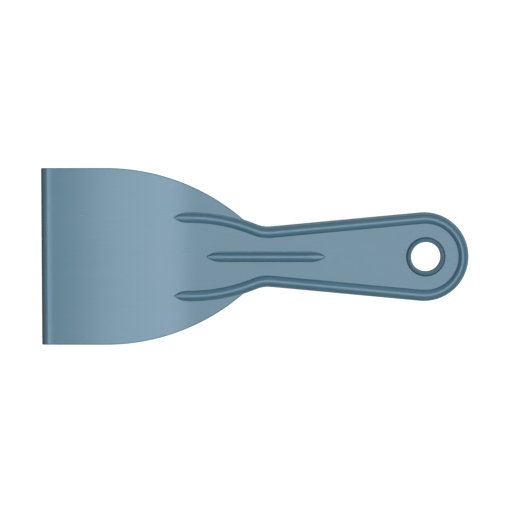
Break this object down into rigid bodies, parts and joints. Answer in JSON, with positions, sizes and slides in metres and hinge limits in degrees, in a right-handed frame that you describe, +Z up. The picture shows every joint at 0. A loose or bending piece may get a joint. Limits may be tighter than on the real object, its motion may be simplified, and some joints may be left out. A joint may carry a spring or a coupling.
{
  "type": "flexible putty knife",
  "caption": "Flexible plastic putty knife: a wide thin blade with a bevelled edge narrows to a ribbed neck and a rimmed flat handle with a round hang hole.",
  "frame": {"origin": "on the surface the knife lies on, under the centre of its bounding box", "axes": "+X along the knife from the working edge to the hang hole, +Y across the blade, +Z up out of the front face"},
  "size_m": [0.1836, 0.0762, 0.006],
  "materials": {
    "plastic": "satin moulded blue-grey polypropylene"
  },
  "bodies": {
    "handle": {"blade_root": "plastic", "upper_rib_front": "plastic", "upper_rib_back": "plastic", "lower_rib_front": "plastic", "lower_rib_back": "plastic", "centre_rib_front": "plastic", "centre_rib_back": "plastic", "upper_rail": "plastic", "lower_rail": "plastic", "end_loop": "plastic", "handle_web": "plastic", "hang_hole_ring": "plastic"},
    "blade_1": {"blade_strip_1": "plastic"},
    "blade_2": {"blade_strip_2": "plastic"},
    "blade_3": {"blade_strip_3": "plastic"},
    "blade_4": {"blade_strip_4": "plastic"},
    "blade_5": {"blade_strip_5": "plastic"},
    "blade_6": {"blade_strip_6": "plastic"},
    "blade_7": {"blade_strip_7": "plastic"},
    "blade_8": {"blade_strip_8": "plastic", "working_edge": "plastic"}
  },
  "joints": [
    {"name": "blade_bend_1", "type": "hinge", "parent": "handle", "child": "blade_1", "pos_m": [-0.03835, 0, 0.003], "axis": [0, 1, 0], "range_deg": [-5.5, 5.5], "stiffness_Nm_per_rad": 6.75},
    {"name": "blade_bend_2", "type": "hinge", "parent": "blade_1", "child": "blade_2", "pos_m": [-0.04475, 0, 0.003], "axis": [0, 1, 0], "range_deg": [-5.5, 5.5], "stiffness_Nm_per_rad": 6.88},
    {"name": "blade_bend_3", "type": "hinge", "parent": "blade_2", "child": "blade_3", "pos_m": [-0.05115, 0, 0.003], "axis": [0, 1, 0], "range_deg": [-5.5, 5.5], "stiffness_Nm_per_rad": 6.71},
    {"name": "blade_bend_4", "type": "hinge", "parent": "blade_3", "child": "blade_4", "pos_m": [-0.05755, 0, 0.003], "axis": [0, 1, 0], "range_deg": [-5.5, 5.5], "stiffness_Nm_per_rad": 6.27},
    {"name": "blade_bend_5", "type": "hinge", "parent": "blade_4", "child": "blade_5", "pos_m": [-0.06395, 0, 0.003], "axis": [0, 1, 0], "range_deg": [-5.5, 5.5], "stiffness_Nm_per_rad": 5.59},
    {"name": "blade_bend_6", "type": "hinge", "parent": "blade_5", "child": "blade_6", "pos_m": [-0.07035, 0, 0.003], "axis": [0, 1, 0], "range_deg": [-5.5, 5.5], "stiffness_Nm_per_rad": 4.77},
    {"name": "blade_bend_7", "type": "hinge", "parent": "blade_6", "child": "blade_7", "pos_m": [-0.07675, 0, 0.003], "axis": [0, 1, 0], "range_deg": [-5.5, 5.5], "stiffness_Nm_per_rad": 3.9},
    {"name": "blade_bend_8", "type": "hinge", "parent": "blade_7", "child": "blade_8", "pos_m": [-0.08315, 0, 0.003], "axis": [0, 1, 0], "range_deg": [-5.5, 5.5], "stiffness_Nm_per_rad": 3.03}
  ]
}
